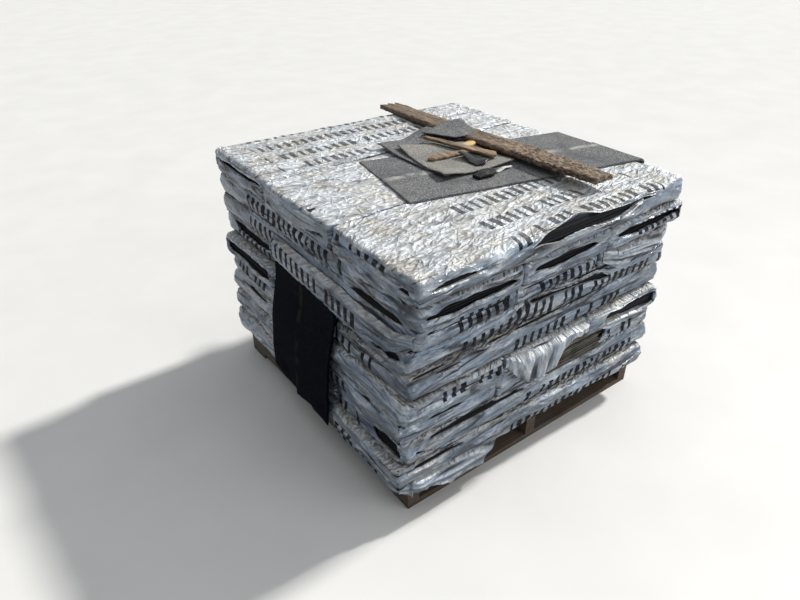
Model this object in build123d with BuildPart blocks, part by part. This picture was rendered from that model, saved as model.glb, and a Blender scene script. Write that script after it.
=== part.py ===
from build123d import *
from math import cos, pi, radians, sin
import os

os.makedirs("parts", exist_ok=True)

# Pallet, in millimetres. Stringers run along Y, all boards along X.
pallet_width = 960.0
pallet_length = 960.0
stringer_width = 38.0
stringer_height = 72.0
stringer_count = 3
board_thickness = 19.0
deck_board_width = 90.0
deck_board_count = 7
bottom_board_width = 90.0
bottom_board_count = 3

# One bundle: laminated shingles in a sleeve of shrunk film
shingle_length = 1000.0
bundles_per_layer = 3
ply_thickness = 3.0
sheet_pitch = 3.55
sheets_per_bundle = 20
sheet_gap = 0.8
sheet_gap_depth = 5.0
sheet_recesses = (0.0, 6.0, 4.0, 2.0)
film_thickness = 2.0
film_side_slack = 0.5
film_end_slack = 2.0
film_edge_radius = 5.0
bundle_gap = 1.0

# Bull's-eye openings that the shrunk film leaves at a bundle's end
lens_width = 285.0
lens_height = 26.0

# Layers count from the bottom. Each one is shifted and turned a little on the stack.
layer_axes = ["X", "X", "Y", "Y", "X", "X", "Y", "Y", "X"]
layer_places = [
    (-16, -6, -1.2),
    (0, 5, -0.5),
    (-2, 9, -0.9),
    (0, -6, -1.0),
    (-2, 8, 0.7),
    (10, 14, -0.4),
    (12, 11, 1.2),
    (6, -17, 1.1),
    (-9, -18, 1.1),
]
row_slides = (-4, 3, 0)

# How far the stack's top has settled: at its middle, and more at its front and right edges
# than at the edges opposite. Each layer takes an equal share.
settled_middle = 19.5
settled_to_front = 24.0
settled_to_right = 6.0

# Openings at the near ends, as (layer, row): (shift across, shift up, width, height)
near_openings = {
    (9, 1): (0, 12, 285, 20),
    (8, -1): (0, 0, 318, 30),
    (8, 0): (-10, 8, 250, 32),
    (8, 1): (0, 4, 310, 28),
    (6, 1): (-15, 16, 255, 34),
    (6, -1): (-65, 16, 140, 34),
    (5, 1): (5, 7, 315, 40),
    (5, -1): (8, 20, 225, 22),
    (3, 0): (60, 4, 205, 62),
    (3, 1): (-116, 4, 100, 56),
    (2, -1): (-90, 0, 136, 60),
}
far_opening = (0, 4, lens_width, lens_height)

# Openings in a long side of the front row, as layer: (shift along, shift up, width, height)
side_openings = {
    9: (140, 8, 540, 42),
    6: (80, 4, 320, 40),
}

# Laminated shingle that hangs down the left face, tucked in under the seventh layer
tucked_under_layer = 7
hanging_turn = -4.6
hanging_fold_y = -35.0
hanging_drop = 413.0
drape_radius = 16.0
drape_clearance = 1.0
overlay_share = 0.56

# Laminated shingle that lies on the top layer and bends down over the right edge
loose_turn = -10.7
loose_fold_y = -185.0
loose_drop = 205.0

# Broken pieces that lie on top. Outlines are points in the plan.
scrap_thickness = 3.0
scrap_under_outline = [(-94, 188), (122, 214), (162, 120), (158, -102), (20, -118), (-88, -133)]
scrap_over_outline = [(-61, 131), (-106, -148), (160, -158), (165, 60), (60, 112)]
scrap_flap_outline = [(72, 172), (176, 206), (250, 190), (226, 62), (128, 76)]
offcut_outline = [(36, -43), (34, -130), (60, -141), (86, -128), (84, -46), (58, -41)]
offcut_thickness = 5.0
lump_outline = [(-20, -170), (42, -171), (58, -178), (52, -196), (30, -204), (-14, -198)]
lump_thickness = 11.0
strip_outline = [(62, -176), (134, -171), (134, -179), (66, -188)]
strip_thickness = 4.0

board_outline = [
    (179, -446), (196, -440), (214, -447), (232, -441), (246, -446),
    (254, -250), (259, -20), (247, 180), (241, 380), (252, 520),
    (240, 552), (228, 531), (212, 556), (196, 538), (178, 560),
    (171, 400), (166, 190), (170, -30), (168, -240),
]
broken_board_thickness = 18.0
dark_splinter_outline = [(-55, -14), (-44, -28), (60, -36), (122, -34), (128, -22), (60, -12), (-20, 2)]
dark_splinter_thickness = 9.0
long_splinter_outline = [(47, 138), (62, 142), (96, 40), (142, -98), (132, -114), (112, -116), (84, -10)]
long_splinter_thickness = 9.0
pale_splinter_outline = [(106, 14), (118, -4), (158, 10), (163, 24), (152, 36), (124, 30)]
pale_splinter_thickness = 8.0

# Values that follow from the sizes above. Three shingle widths make one length,
# so layers that cross have the same outline.
shingle_width = shingle_length / bundles_per_layer
rows = [number - (bundles_per_layer - 1) // 2 for number in range(bundles_per_layer)]
deck_top = 2 * board_thickness + stringer_height
stack_height = sheets_per_bundle * sheet_pitch
layer_height = stack_height + 2 * film_thickness
wrap_width = shingle_width + 2 * (film_side_slack + film_thickness)
wrap_length = shingle_length + 2 * (film_end_slack + film_thickness)
row_pitch = wrap_width + bundle_gap
laminate_thickness = 2 * ply_thickness
layer_count = len(layer_axes)
stack_top = deck_top + layer_count * layer_height


def along(axis, degrees):
    """Unit vector of a bundle's length in the plan, turned with its layer."""
    angle = radians(degrees) + (pi / 2 if axis == "Y" else 0)
    return Vector(cos(angle), sin(angle), 0)


def settled(level, x, y):
    """Height that a level of the even stack has at a place in the plan, once settled."""
    share = (level - deck_top) / (stack_top - deck_top)
    run = settled_to_right * x / shingle_length - settled_to_front * y / shingle_length
    return level - share * (settled_middle + run)


def settled_plane(level):
    """Plane in which a level of the even stack lies, once settled."""
    origin = Vector(0, 0, settled(level, 0, 0))
    to_right = Vector(1, 0, settled(level, 1, 0)) - origin
    to_back = Vector(0, 1, settled(level, 0, 1)) - origin
    return Plane(origin=origin, x_dir=to_right, z_dir=to_right.cross(to_back))


def bundle_frame(layer, row):
    """Centre of a bundle in the plan, the way it runs and the way across it."""
    shift_x, shift_y, turn = layer_places[layer - 1]
    length_way = along(layer_axes[layer - 1], turn)
    # Row -1 is at the front or left of the stack, whichever way the layer runs
    across = Vector(-length_way.Y, length_way.X, 0)
    if layer_axes[layer - 1] == "Y":
        across = across * -1
    slide = row_slides[(layer + row) % len(row_slides)]
    centre = Vector(shift_x, shift_y, 0) + across * (row * row_pitch) + length_way * slide
    return centre, length_way, across


def bundle_point(layer, row, distance, aside, rise):
    """Point of a settled bundle: distance along it, aside across it, rise above its middle."""
    centre, length_way, across = bundle_frame(layer, row)
    place = centre + length_way * distance + across * aside
    level = deck_top + (layer - 0.5) * layer_height + rise
    return Vector(place.X, place.Y, settled(level, place.X, place.Y))


def section_plane(layer, row, distance):
    """Plane square to a bundle, whose sketch axes point across it and up."""
    _, length_way, across = bundle_frame(layer, row)
    origin = bundle_point(layer, row, distance, 0, 0)
    beside = bundle_point(layer, row, distance, 1, 0)
    upright = across.cross(Vector(0, 0, 1))
    # The sketch's own normal may point along the bundle or against it
    sense = 1 if upright.dot(length_way) > 0 else -1
    return Plane(origin=origin, x_dir=beside - origin, z_dir=length_way * sense)


def side_plane(layer, row, aside):
    """Plane beside a bundle, whose sketch axes point along it and up."""
    _, length_way, _ = bundle_frame(layer, row)
    origin = bundle_point(layer, row, 0, aside, 0)
    further = bundle_point(layer, row, 1, aside, 0)
    return Plane(origin=origin, x_dir=further - origin, z_dir=length_way.cross(Vector(0, 0, 1)))


def face_on(plane, points):
    """Face through points of the settled stack, drawn on a plane."""
    local = [plane.to_local_coords(point) for point in points]
    with BuildSketch(plane) as face:
        with BuildLine():
            Polyline(*[(point.X, point.Y) for point in local], close=True)
        make_face()
    return face.sketch


def lens_sketch(plane, shift_across, shift_up, width, height):
    """Lens-shaped outline, pointed at both ends."""
    left = (shift_across - width / 2, shift_up)
    right = (shift_across + width / 2, shift_up)
    with BuildSketch(plane) as lens:
        with BuildLine():
            ThreePointArc(left, (shift_across, shift_up + height / 2), right)
            ThreePointArc(right, (shift_across, shift_up - height / 2), left)
        make_face()
    return lens.sketch


def outline_sketch(plane, points):
    """Closed outline with straight sides."""
    with BuildSketch(plane) as outline:
        with BuildLine():
            Polyline(*points, close=True)
        make_face()
    return outline.sketch


def end_opening(layer, row, end):
    """Opening of a bundle's near (-1) or far (1) end, or None where film covers it."""
    if end < 0:
        return near_openings.get((layer, row))
    return far_opening if (layer + row) % 2 else None


def end_points(end, is_open):
    """One end of a pile of sheets in side view. At an open end each sheet has its own edge."""
    half = shingle_length / 2
    if is_open:
        points = []
        for sheet in range(sheets_per_bundle):
            reach = end * (half - sheet_recesses[sheet % len(sheet_recesses)])
            low = sheet * sheet_pitch - stack_height / 2
            points += [(reach, low), (reach, low + sheet_pitch)]
    else:
        points = [(end * half, -stack_height / 2), (end * half, stack_height / 2)]
    return points


def shingle_stack(layer, row):
    """The shingles of one bundle as a pile, from one long side to the other."""
    near_end = end_points(-1, end_opening(layer, row, -1) is not None)
    far_end = end_points(1, end_opening(layer, row, 1) is not None)
    sides = []
    for aside in (-shingle_width / 2, shingle_width / 2):
        outline = [bundle_point(layer, row, distance, aside, rise)
                   for distance, rise in far_end + near_end[::-1]]
        sides.append(face_on(side_plane(layer, row, aside), outline))
    loft(sides, ruled=True)


def side_sheet_gaps(layer):
    """Gaps between the sheets, where the film is open along the front row's side."""
    shift_along, shift_up, width, height = side_openings[layer]
    with BuildSketch(side_plane(layer, -1, -shingle_width / 2)) as gaps:
        with Locations((shift_along, 0)):
            with GridLocations(0, sheet_pitch, 1, sheets_per_bundle - 1):
                Rectangle(width, sheet_gap)
    extrude(gaps.sketch, amount=sheet_gap_depth, both=True, mode=Mode.SUBTRACT)


def bundle_block(layer, row, length, width, height, radius=0.0):
    """Block of a bundle's shape between two settled levels, its long edges rounded."""
    centre, length_way, _ = bundle_frame(layer, row)
    middle = deck_top + (layer - 0.5) * layer_height
    with BuildPart(mode=Mode.PRIVATE) as block:
        with BuildSketch(Plane(origin=centre, x_dir=length_way, z_dir=(0, 0, 1))):
            Rectangle(length, width)
        extrude(amount=stack_top)
        split(bisect_by=settled_plane(middle + height / 2), keep=Keep.BOTTOM)
        split(bisect_by=settled_plane(middle - height / 2), keep=Keep.TOP)
        if radius:
            fillet(block.edges().sort_by(Edge.length)[-4:], radius)
    return block.part


def film_sleeve(layer, row):
    """Film round one bundle, open where the shrinking left it open."""
    add(bundle_block(layer, row, wrap_length, wrap_width, layer_height, film_edge_radius))
    add(bundle_block(layer, row, wrap_length - 2 * film_thickness, wrap_width - 2 * film_thickness,
                     stack_height), mode=Mode.SUBTRACT)
    for end in (-1, 1):
        opening = end_opening(layer, row, end)
        if opening is not None:
            lens = lens_sketch(section_plane(layer, row, end * wrap_length / 2), *opening)
            extrude(lens, amount=film_thickness + film_end_slack / 2, both=True, mode=Mode.SUBTRACT)
    if row < 0 and layer in side_openings:
        lens = lens_sketch(side_plane(layer, row, -wrap_width / 2), *side_openings[layer])
        extrude(lens, amount=film_thickness + film_side_slack / 2, both=True, mode=Mode.SUBTRACT)


def side_reach(layer, side, y):
    """Where a layer's left (-1) or right (1) face stands at a place along Y."""
    shift_x, shift_y, turn = layer_places[layer - 1]
    angle = radians(turn)
    if layer_axes[layer - 1] == "X":
        half = wrap_length / 2 + max(abs(slide) for slide in row_slides)
    else:
        half = row_pitch + wrap_width / 2
    run = (y - shift_y - side * half * sin(angle)) / cos(angle)
    return shift_x + side * half * cos(angle) - run * sin(angle)


def drape_wall(side, edge_layer, fold_y, turn, drop):
    """Where a draped shingle's inner face hangs, clear of the layers behind it."""
    reach = shingle_width / 2 + (drop + shingle_width / 2) * abs(sin(radians(turn)))
    span = [fold_y - reach, fold_y + reach]
    lowest_layer = max(1, edge_layer - int((drop + drape_radius) // layer_height))
    faces = [side * side_reach(layer, side, y)
             for layer in range(lowest_layer, edge_layer + 1) for y in span]
    edge = [side * side_reach(edge_layer, side, y) for y in span]
    # The shingle tilts with the layer that it lies on, on the right side towards the stack
    lean = max(0, side * settled_to_right / shingle_length * (drop + drape_radius))
    return max(max(faces) + drape_clearance, max(edge) + drape_radius) + lean


def lying_length(drop):
    """What is left of a draped shingle's length behind its bend."""
    return shingle_length - drop - drape_radius * pi / 2


def drape(side, wall, bed, fold_y, turn, drop, inner, outer, strip):
    """One ply of a shingle that lies on a bed, bends over the edge and hangs down.

    inner and outer are the ply's own faces, measured out from the shingle's inner face.
    strip is the part of the shingle's width that the ply covers.
    """
    slope = radians(turn)
    bend_start = wall - drape_radius
    lying = lying_length(drop)
    fold = [fold_y + place / cos(slope) for place in strip]
    lying_end = [
        (bend_start - lying * cos(slope) - place * sin(slope) * side,
         fold_y - side * lying * sin(slope) + place * cos(slope))
        for place in strip
    ]
    lying_points = [(side * bend_start, fold[0]), (side * lying_end[0][0], lying_end[0][1]),
                    (side * lying_end[1][0], lying_end[1][1]), (side * bend_start, fold[1])]
    extrude(outline_sketch(Plane.XY.offset(bed + inner), lying_points), amount=outer - inner)

    bend_centre = (side * bend_start, bed - drape_radius)
    half_way = sin(pi / 4)
    near_radius = drape_radius + inner
    far_radius = drape_radius + outer

    def on_bend(radius, out, up):
        return (bend_centre[0] + side * radius * out, bend_centre[1] + radius * up)

    with BuildSketch(Plane.XZ.offset(-max(fold))) as bend:
        with BuildLine():
            ThreePointArc(on_bend(near_radius, 0, 1), on_bend(near_radius, half_way, half_way),
                          on_bend(near_radius, 1, 0))
            Line(on_bend(near_radius, 1, 0), on_bend(far_radius, 1, 0))
            ThreePointArc(on_bend(far_radius, 1, 0), on_bend(far_radius, half_way, half_way),
                          on_bend(far_radius, 0, 1))
            Line(on_bend(far_radius, 0, 1), on_bend(near_radius, 0, 1))
        make_face()
    extrude(bend.sketch, amount=max(fold) - min(fold))

    low = bed - drape_radius
    hanging_end = [
        (fold_y + side * drop * sin(slope) + place * cos(slope),
         low - drop * cos(slope) + side * place * sin(slope))
        for place in strip
    ]
    hanging_points = [(fold[0], low), hanging_end[0], hanging_end[1], (fold[1], low)]
    hanging_plane = Plane.YZ.offset(side * wall + (inner if side > 0 else -outer))
    extrude(outline_sketch(hanging_plane, hanging_points), amount=outer - inner)


def laminated_shingle(side, wall, bed, fold_y, turn, drop):
    """A full sheet with a second ply over its lower part."""
    half = shingle_width / 2
    overlay_edge = half - overlay_share * shingle_width
    drape(side, wall, bed, fold_y, turn, drop, 0, ply_thickness, (-half, half))
    drape(side, wall, bed, fold_y, turn, drop, ply_thickness, laminate_thickness, (-half, -overlay_edge))


def flat_piece(outline, bottom, thickness):
    """A flat broken piece with the outline given, lying at a height."""
    extrude(outline_sketch(Plane.XY.offset(bottom), outline), amount=thickness)


def rest_on(level):
    """Placement that tilts a piece with the settled level that it lies on."""
    return settled_plane(level).location * Location((0, 0, -level))


def save(part, name):
    part.label = name
    export_step(part, f"parts/{name}.step")


# Pallet
stringer_pitch = (pallet_width - stringer_width) / (stringer_count - 1)
for number in range(stringer_count):
    with BuildPart() as stringer:
        with BuildSketch(Plane.XY.offset(board_thickness)):
            with Locations((number * stringer_pitch - (pallet_width - stringer_width) / 2, 0)):
                Rectangle(stringer_width, pallet_length)
        extrude(amount=stringer_height)
    save(stringer.part, f"pallet_stringer_{number + 1}")

for name, count, board_width, bottom in (
    ("pallet_bottom_board", bottom_board_count, bottom_board_width, 0),
    ("pallet_deck_board", deck_board_count, deck_board_width, board_thickness + stringer_height),
):
    board_pitch = (pallet_length - board_width) / (count - 1)
    for number in range(count):
        with BuildPart() as board:
            with BuildSketch(Plane.XY.offset(bottom)):
                with Locations((0, number * board_pitch - (pallet_length - board_width) / 2)):
                    Rectangle(pallet_width, board_width)
            extrude(amount=board_thickness)
        save(board.part, f"{name}_{number + 1}")

# Shingle that hangs on the left face, and the dent that its lying part presses
tuck_level = deck_top + (tucked_under_layer - 1) * layer_height
hanging_bed = tuck_level - laminate_thickness
hanging_wall = drape_wall(-1, tucked_under_layer - 1, hanging_fold_y, hanging_turn, hanging_drop)
with BuildPart() as hanging_shingle:
    laminated_shingle(-1, hanging_wall, hanging_bed, hanging_fold_y, hanging_turn, hanging_drop)
save(rest_on(tuck_level) * hanging_shingle.part, "hanging_shingle")


def dent_points(margin):
    """Plan of the tucked shingle's lying part, grown by a margin."""
    slope = radians(hanging_turn)
    half = shingle_width / 2 + margin
    way_in = Vector(cos(slope), sin(slope))
    aside = Vector(-sin(slope), cos(slope))
    edge = Vector(drape_radius - hanging_wall, hanging_fold_y)
    start = edge - way_in * 2 * drape_radius
    end = edge + way_in * (lying_length(hanging_drop) + margin)
    corners = [start - aside * half, end - aside * half, end + aside * half, start + aside * half]
    return [(corner.X, corner.Y) for corner in corners]


def film_dent(row):
    """Film pressed in under the tucked shingle, closed below it."""
    layer = tucked_under_layer - 1
    floor = settled_plane(tuck_level).offset(-laminate_thickness - film_thickness)
    half_length = (wrap_length - film_thickness) / 2
    half_width = (wrap_width - film_thickness) / 2
    corners = [bundle_point(layer, row, distance, aside, layer_height / 2)
               for distance, aside in ((-half_length, -half_width), (half_length, -half_width),
                                       (half_length, half_width), (-half_length, half_width))]
    pressed = outline_sketch(floor, dent_points(film_thickness)) & face_on(floor, corners)
    if pressed is not None and pressed.area > 0:
        extrude(pressed, amount=laminate_thickness + film_thickness)


# Bundles, layer by layer
for layer in range(1, layer_count + 1):
    dented = layer == tucked_under_layer - 1
    with BuildPart() as shingles:
        for row in rows:
            shingle_stack(layer, row)
        if layer in side_openings:
            side_sheet_gaps(layer)
        if dented:
            floor = settled_plane(tuck_level).offset(-laminate_thickness - film_thickness)
            pressed = outline_sketch(floor, dent_points(film_thickness))
            extrude(pressed, amount=laminate_thickness + film_thickness, mode=Mode.SUBTRACT)
    save(shingles.part, f"shingles_layer_{layer}")

    with BuildPart() as wraps:
        for row in rows:
            film_sleeve(layer, row)
            if dented:
                film_dent(row)
        if dented:
            floor = settled_plane(tuck_level).offset(-laminate_thickness)
            dent = outline_sketch(floor, dent_points(0))
            extrude(dent, amount=laminate_thickness, mode=Mode.SUBTRACT)
    save(wraps.part, f"wrap_layer_{layer}")

# Loose pieces on top, each on what lies below it
loose_wall = drape_wall(1, layer_count, loose_fold_y, loose_turn, loose_drop)
with BuildPart() as loose_shingle:
    laminated_shingle(1, loose_wall, stack_top, loose_fold_y, loose_turn, loose_drop)
save(rest_on(stack_top) * loose_shingle.part, "loose_shingle")

# Broken shingle, plastic and wood, piled on the loose shingle
on_loose = stack_top + laminate_thickness
on_under = on_loose + scrap_thickness
on_over = on_under + scrap_thickness
on_board = on_loose + broken_board_thickness
for name, outline, bottom, thickness in (
    ("scrap_under", scrap_under_outline, on_loose, scrap_thickness),
    ("scrap_over", scrap_over_outline, on_under, scrap_thickness),
    ("scrap_flap", scrap_flap_outline, on_board, scrap_thickness),
    ("plastic_offcut", offcut_outline, on_over, offcut_thickness),
    ("tar_lump", lump_outline, on_loose, lump_thickness),
    ("film_strip", strip_outline, on_loose, strip_thickness),
    ("broken_board", board_outline, on_loose, broken_board_thickness),
    ("splinter_dark", dark_splinter_outline, on_over, dark_splinter_thickness),
    ("splinter_long", long_splinter_outline, on_over + dark_splinter_thickness, long_splinter_thickness),
    ("splinter_pale", pale_splinter_outline, on_over, pale_splinter_thickness),
):
    with BuildPart() as piece:
        flat_piece(outline, bottom, thickness)
    save(rest_on(stack_top) * piece.part, name)
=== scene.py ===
import functools
import itertools
import math

import bpy
import numpy as np
from mathutils import Matrix, Vector
from mathutils.geometry import delaunay_2d_cdt


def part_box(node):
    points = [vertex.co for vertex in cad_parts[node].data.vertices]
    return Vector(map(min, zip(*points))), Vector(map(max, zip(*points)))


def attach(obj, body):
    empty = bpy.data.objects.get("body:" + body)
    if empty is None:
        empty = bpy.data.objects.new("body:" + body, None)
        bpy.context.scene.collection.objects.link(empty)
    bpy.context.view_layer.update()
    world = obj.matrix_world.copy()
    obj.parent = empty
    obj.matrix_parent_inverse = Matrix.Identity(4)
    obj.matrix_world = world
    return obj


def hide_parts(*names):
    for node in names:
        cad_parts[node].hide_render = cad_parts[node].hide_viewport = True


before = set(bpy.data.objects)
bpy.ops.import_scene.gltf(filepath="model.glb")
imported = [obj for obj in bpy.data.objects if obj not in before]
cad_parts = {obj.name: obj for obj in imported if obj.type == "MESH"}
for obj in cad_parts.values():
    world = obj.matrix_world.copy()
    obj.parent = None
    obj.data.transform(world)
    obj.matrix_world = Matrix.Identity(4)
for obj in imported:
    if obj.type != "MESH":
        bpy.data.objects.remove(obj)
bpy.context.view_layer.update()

# Lengths in tables are in millimetres, everything else is in metres
mm = 0.001

# Camera at the photograph's angle, in the part's own frame
camera_place = (-1.224, -1.439, 1.419)
camera_yaw, camera_pitch, camera_roll = -36.78, -31.37, 0.09
camera_lens = 28.8

# How far the top of the stack has sunk at its corners: front left, front right, back left, back right
sunk_corners = (33 * mm, 30 * mm, 0, 15 * mm)

# Openings at the near ends, as (layer, row): (shift across, shift up, width, height)
near_openings = {
    (9, 1): (0, 12, 285, 20),
    (8, -1): (0, 0, 318, 30),
    (8, 0): (-10, 8, 250, 32),
    (8, 1): (0, 4, 310, 28),
    (6, 1): (-15, 12, 262, 46),
    (6, -1): (-56, 4, 168, 40),
    (5, 1): (5, 4, 318, 52),
    (5, -1): (8, 20, 225, 22),
    (4, 1): (35, 2, 255, 52),
    (4, 0): (78, -9, 176, 50),
    (3, 0): (80, 7, 180, 66),
    (3, 1): (-108, 8, 118, 60),
    (2, -1): (-90, 0, 136, 60),
}
# The same for the far ends, where a bundle has an opening there
far_opening = (0, 4, 285, 26)

# Openings in the front row's long side, as layer: outline points (place along, low edge, high edge).
# The high edge is measured up the side and on over the rounded edge above it.
side_openings = {
    9: [(-157, 8, 8), (-108, 8, 28), (-93, 7, 32), (-52, 2, 37), (-12, 5, 43), (21, 7, 49), (51, 7, 53),
        (68, 3, 46), (90, -2, 35), (112, -6, 31), (142, -9, 29), (185, -11, 27), (216, 5, 25),
        (248, 11, 25), (296, 15, 27), (355, 19, 20)],
    6: [(-95, 33, 34), (0, 26, 31), (100, 19, 25), (160, 12, 28), (200, 4, 23), (235, 4, 6)],
}

# Printed rows of each bundle: where the first row's centre is, up from the middle of the outer
# side, the distance between rows, and the zones that carry print, as (face, from row, to row,
# start, end) along the bundle or, on an end, across it
printed_rows = {
    (9, -1): (37, 108, [("tube", 0, 0, -200, 400), ("tube", 1, 2, -205, 190), ("tube", 1, 1, 370, 425),
                        ("near", 0, 0, -67, 160)]),
    (9, 1): (40, 92, [("tube", 0, 2, -418, 180), ("tube", 3, 3, -425, -95)]),
    (8, -1): (0, 100, [("tube", 0, 0, -215, 320)]),
    (8, 0): (0, 100, [("near", 1, 1, -160, 60)]),
    (8, 1): (0, 100, [("near", 0, 1, -90, 165)]),
    (7, -1): (-3, 100, [("tube", 0, 0, 150, 302), ("near", 0, 0, -37, 165)]),
    (7, 0): (-22, 100, [("near", 0, 0, -80, 150)]),
    (6, -1): (-20, 100, [("tube", 0, 0, -340, 490)]),
    (6, 1): (-26, 100, [("near", 0, 0, -165, 81)]),
    (5, -1): (-14, 100, [("tube", 0, 0, -150, 325), ("near", 0, 0, -12, 165)]),
    (4, -1): (21, 100, [("tube", 0, 0, 235, 445), ("near", 0, 0, -55, 160)]),
    (3, -1): (-10, 100, [("tube", 0, 0, -295, -165)]),
    (3, 1): (-2, 100, [("near", 0, 0, -34, 67)]),
    (2, -1): (-14, 100, [("tube", 0, 0, -111, 455), ("near", 0, 0, 40, 160)]),
    (1, -1): (-24, 100, [("tube", 0, 0, -120, 455), ("near", 0, 0, 24, 165)]),
    (1, 0): (6, 100, [("near", 0, 0, -150, -83)]),
}
# The same for the bundles that the table leaves out
other_print = (-12, 100, [("tube", 0, 0, -330, 300)])

# How the film lies, as (layer, row): (long folds, crumples), 1 is usual
film_looks = {
    (9, -1): (1.0, 1.5),
    (9, 0): (0.7, 1.2),
    (8, 1): (1.2, 1.6),
    (7, -1): (0.5, 0.5),
    (7, 0): (0.8, 1.3),
    (4, -1): (0.9, 1.7),
    (3, -1): (0.8, 1.6),
    (5, -1): (0.8, 0.6),
}

# Slots where the film is drawn in, painted near black as shade, as (layer, row): (face, place along or across,
# level, width, height, rise from the middle to the end)
pockets = {
    (9, -1): [("tube", -391, 8, 190, 20, 0), ("near", -122, -8, 50, 15, 0)],
    (8, -1): [("tube", -345, -30, 200, 14, 0)],
    (7, -1): [("near", -118, 12, 70, 13, 0), ("tube", -345, 25, 240, 30, 0)],
    (5, -1): [("tube", -380, 22, 120, 12, 0)],
    (3, -1): [("tube", 330, 22, 240, 17, 0), ("tube", -360, 24, 120, 12, 0)],
    (2, -1): [("tube", -462, 2, 130, 18, -20), ("tube", -270, 26, 460, 18, 0), ("tube", -400, -24, 200, 13, 4)],
    (1, -1): [("near", -120, 22, 90, 16, 0), ("tube", -380, 24, 240, 15, 0)],
}


class Noise:
    """Smooth noise in three dimensions, from about -0.6 to 0.6, the same at each run."""

    def __init__(self, seed):
        draw = np.random.default_rng(seed)
        self.order = draw.permutation(256)
        slopes = draw.normal(size=(256, 3))
        self.slopes = slopes / np.linalg.norm(slopes, axis=1)[:, None]

    def __call__(self, points):
        cell = np.floor(points).astype(int)
        part = points - cell
        ease = part ** 3 * (part * (part * 6 - 15) + 10)
        total = np.zeros(points.shape[:-1])
        for corner in itertools.product((0, 1), repeat=3):
            x, y, z = np.moveaxis((cell + corner) & 255, -1, 0)
            pick = self.order[(self.order[(self.order[x] + y) & 255] + z) & 255]
            weight = np.prod(np.where(np.array(corner, bool), ease, 1 - ease), axis=-1)
            total += weight * np.sum(self.slopes[pick] * (part - corner), axis=-1)
        return total


noises = [Noise(seed) for seed in range(8)]


def join(*values):
    """Points from their coordinates, which may be single numbers."""
    return np.stack(np.broadcast_arrays(*values), -1).astype(float)


def crease(points, number, width=0.3):
    """Sharp ridges, 1 on a line and 0 beside it."""
    return np.clip(1 - np.abs(noises[number](points)) / width, 0, 1)


def smooth_step(low, high, value):
    part = np.clip((value - low) / (high - low), 0, 1)
    return part * part * (3 - 2 * part)


deck_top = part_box("pallet_deck_board_1")[1].z
layers = 9
layer_height = 75 * mm
half_height = layer_height / 2
stack_top = deck_top + layers * layer_height
half_stack = 505 * mm


def sink(x, y):
    """How far the top of the stack has sunk at a place."""
    right = np.clip((x / half_stack + 1) / 2, -0.1, 1.1)
    back = np.clip((y / half_stack + 1) / 2, -0.1, 1.1)
    front_left, front_right, back_left, back_right = sunk_corners
    front_line = front_left + (front_right - front_left) * right
    back_line = back_left + (back_right - back_left) * right
    return front_line + (back_line - front_line) * back


def settle(points):
    """Points of the even stack, moved to where the sunken stack has them."""
    points = np.array(points, float)
    share = np.clip((points[..., 2] - deck_top) / (stack_top - deck_top), 0, 1.1)
    points[..., 2] -= sink(points[..., 0], points[..., 1]) * share
    return points


def link(name, data):
    """Makes an object of a mesh, light or camera."""
    made = bpy.data.objects.new(name, data)
    bpy.context.scene.collection.objects.link(made)
    return made


class Sheaf:
    """Points, faces and point values of a mesh under construction."""

    def __init__(self):
        self.points = []
        self.faces = []
        self.values = {}
        self.count = 0

    def add(self, points, faces, **values):
        points = np.asarray(points, float).reshape(-1, 3)
        self.points.append(points)
        self.faces += [tuple(int(corner) + self.count for corner in face) for face in faces]
        for name, value in values.items():
            # One value for each point, or the same for all
            width = np.size(value) // len(points) or 1
            self.values.setdefault(name, []).append(np.resize(np.asarray(value, float), (len(points), width)))
        self.count += len(points)

    def object(self, name, material, smooth=True):
        mesh = bpy.data.meshes.new(name)
        faces = [face for face in self.faces if len(set(face)) == len(face)]
        mesh.from_pydata(np.concatenate(self.points).tolist(), [], faces)
        for value_name, parts in self.values.items():
            value = np.concatenate(parts)
            kind, field = ("FLOAT_VECTOR", "vector") if value.shape[1] == 3 else ("FLOAT", "value")
            attribute = mesh.attributes.new(value_name, kind, "POINT")
            attribute.data.foreach_set(field, value.astype(np.float32).ravel())
        mesh.polygons.foreach_set("use_smooth", [smooth] * len(mesh.polygons))
        mesh.materials.append(material)
        mesh.update()
        return link(name, mesh)


def place(piece, slot, *nodes):
    """Puts a finished piece on the part, in place of the nodes that it stands for."""
    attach(piece, "root")
    if nodes:
        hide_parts(*nodes)


# Bundles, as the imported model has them

def solid_points(node):
    """Points of each separate solid of a node."""
    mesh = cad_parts[node].data
    points = np.array([vertex.co for vertex in mesh.vertices])
    _, same = np.unique(np.round(points, 5), axis=0, return_inverse=True)
    same = same.ravel()
    edges = same[np.array([edge.vertices for edge in mesh.edges])]
    label = np.arange(same.max() + 1)
    before = None
    while before is None or (label != before).any():
        before = label.copy()
        lowest = label[edges].min(axis=1)
        np.minimum.at(label, edges[:, 0], lowest)
        np.minimum.at(label, edges[:, 1], lowest)
    return [points[label[same] == value] for value in np.unique(label)]


def longest_edge(plan):
    """Direction of the longest side of the outline round a set of plan points."""
    ordered = sorted(set(map(tuple, np.round(plan, 6))))
    outline = []
    for points in (ordered, ordered[::-1]):
        chain = []
        for point in points:
            while len(chain) > 1 and np.cross(np.subtract(chain[-1], chain[-2]),
                                              np.subtract(point, chain[-1])) <= 1e-9:
                chain.pop()
            chain.append(point)
        outline += chain[:-1]
    sides = np.roll(outline, -1, axis=0) - np.array(outline)
    side = sides[np.argmax(np.hypot(*sides.T))]
    return side / np.hypot(*side)


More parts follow.
